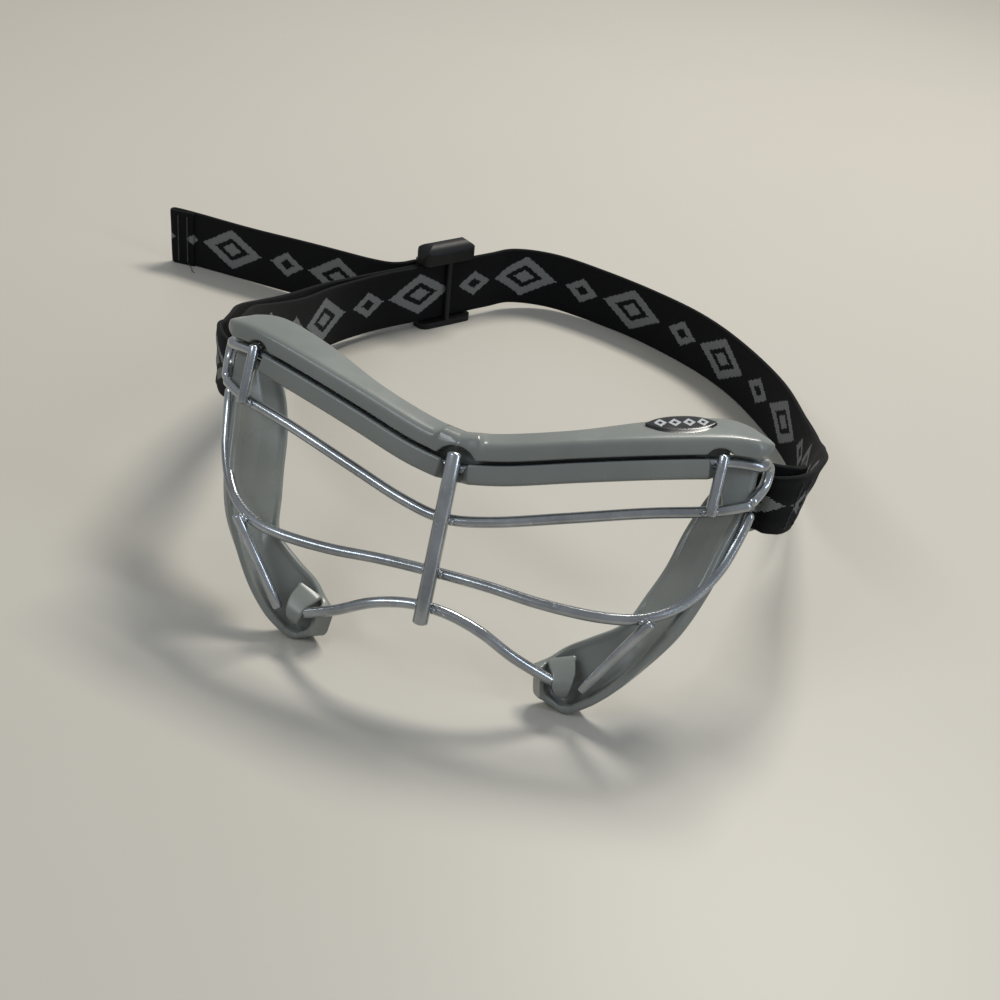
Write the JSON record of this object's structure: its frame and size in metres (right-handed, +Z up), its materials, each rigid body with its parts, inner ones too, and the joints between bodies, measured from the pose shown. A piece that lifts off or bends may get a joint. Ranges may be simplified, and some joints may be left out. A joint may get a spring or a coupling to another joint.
{
  "type": "lacrosse goggles",
  "caption": "Wire-cage lacrosse goggles: a welded metal cage in a moulded brow and cheek frame, held by a wide elastic head strap with a sliding adjuster.",
  "frame": {"origin": "centre of the footprint, at the level of the surface that the goggles rest on", "axes": "+X across the face to the wearer's left, which is the picture's right; +Y from the cage back along the strap; +Z up from the table"},
  "size_m": [0.2818, 0.2569, 0.0761],
  "materials": {
    "cage_wire": "satin silver-grey coat",
    "moulding": "satin soft grey moulding",
    "webbing": "woven black elastic with a plain grey woven motif",
    "slider": "fine matt black",
    "badge": "gloss, blank",
    "thread": "black sewing thread"
  },
  "bodies": {
    "goggles": {"brow_wire": "cage_wire", "eye_wire": "cage_wire", "rim_wire": "cage_wire", "nose_wire": "cage_wire", "centre_bar": "cage_wire", "temple_bar_left": "cage_wire", "temple_bar_right": "cage_wire", "cheek_strut_left": "cage_wire", "cheek_strut_right": "cage_wire", "weld_beads": "cage_wire", "brow_pad": "moulding", "side_pad_left": "moulding", "side_pad_right": "moulding", "cheek_clip_left": "moulding", "cheek_clip_right": "moulding", "temple_panel_left": "moulding", "temple_panel_right": "moulding", "strap_post_left": "moulding", "strap_post_right": "moulding", "badge": "badge", "strap_band": "webbing", "strap_wrap_left": "webbing", "strap_return": "webbing", "strap_loop_right": "webbing", "loop_stitches": "thread"},
    "adjuster": {"slider": "slider", "strap_fold": "webbing", "strap_tail": "webbing", "tail_hem": "webbing", "tail_stitches": "thread"}
  },
  "joints": [
    {"name": "slider_slide", "type": "slide", "parent": "goggles", "child": "adjuster", "axis": [0.6, 0.8, 0], "range_m": [-0.02, 0.02]}
  ]
}
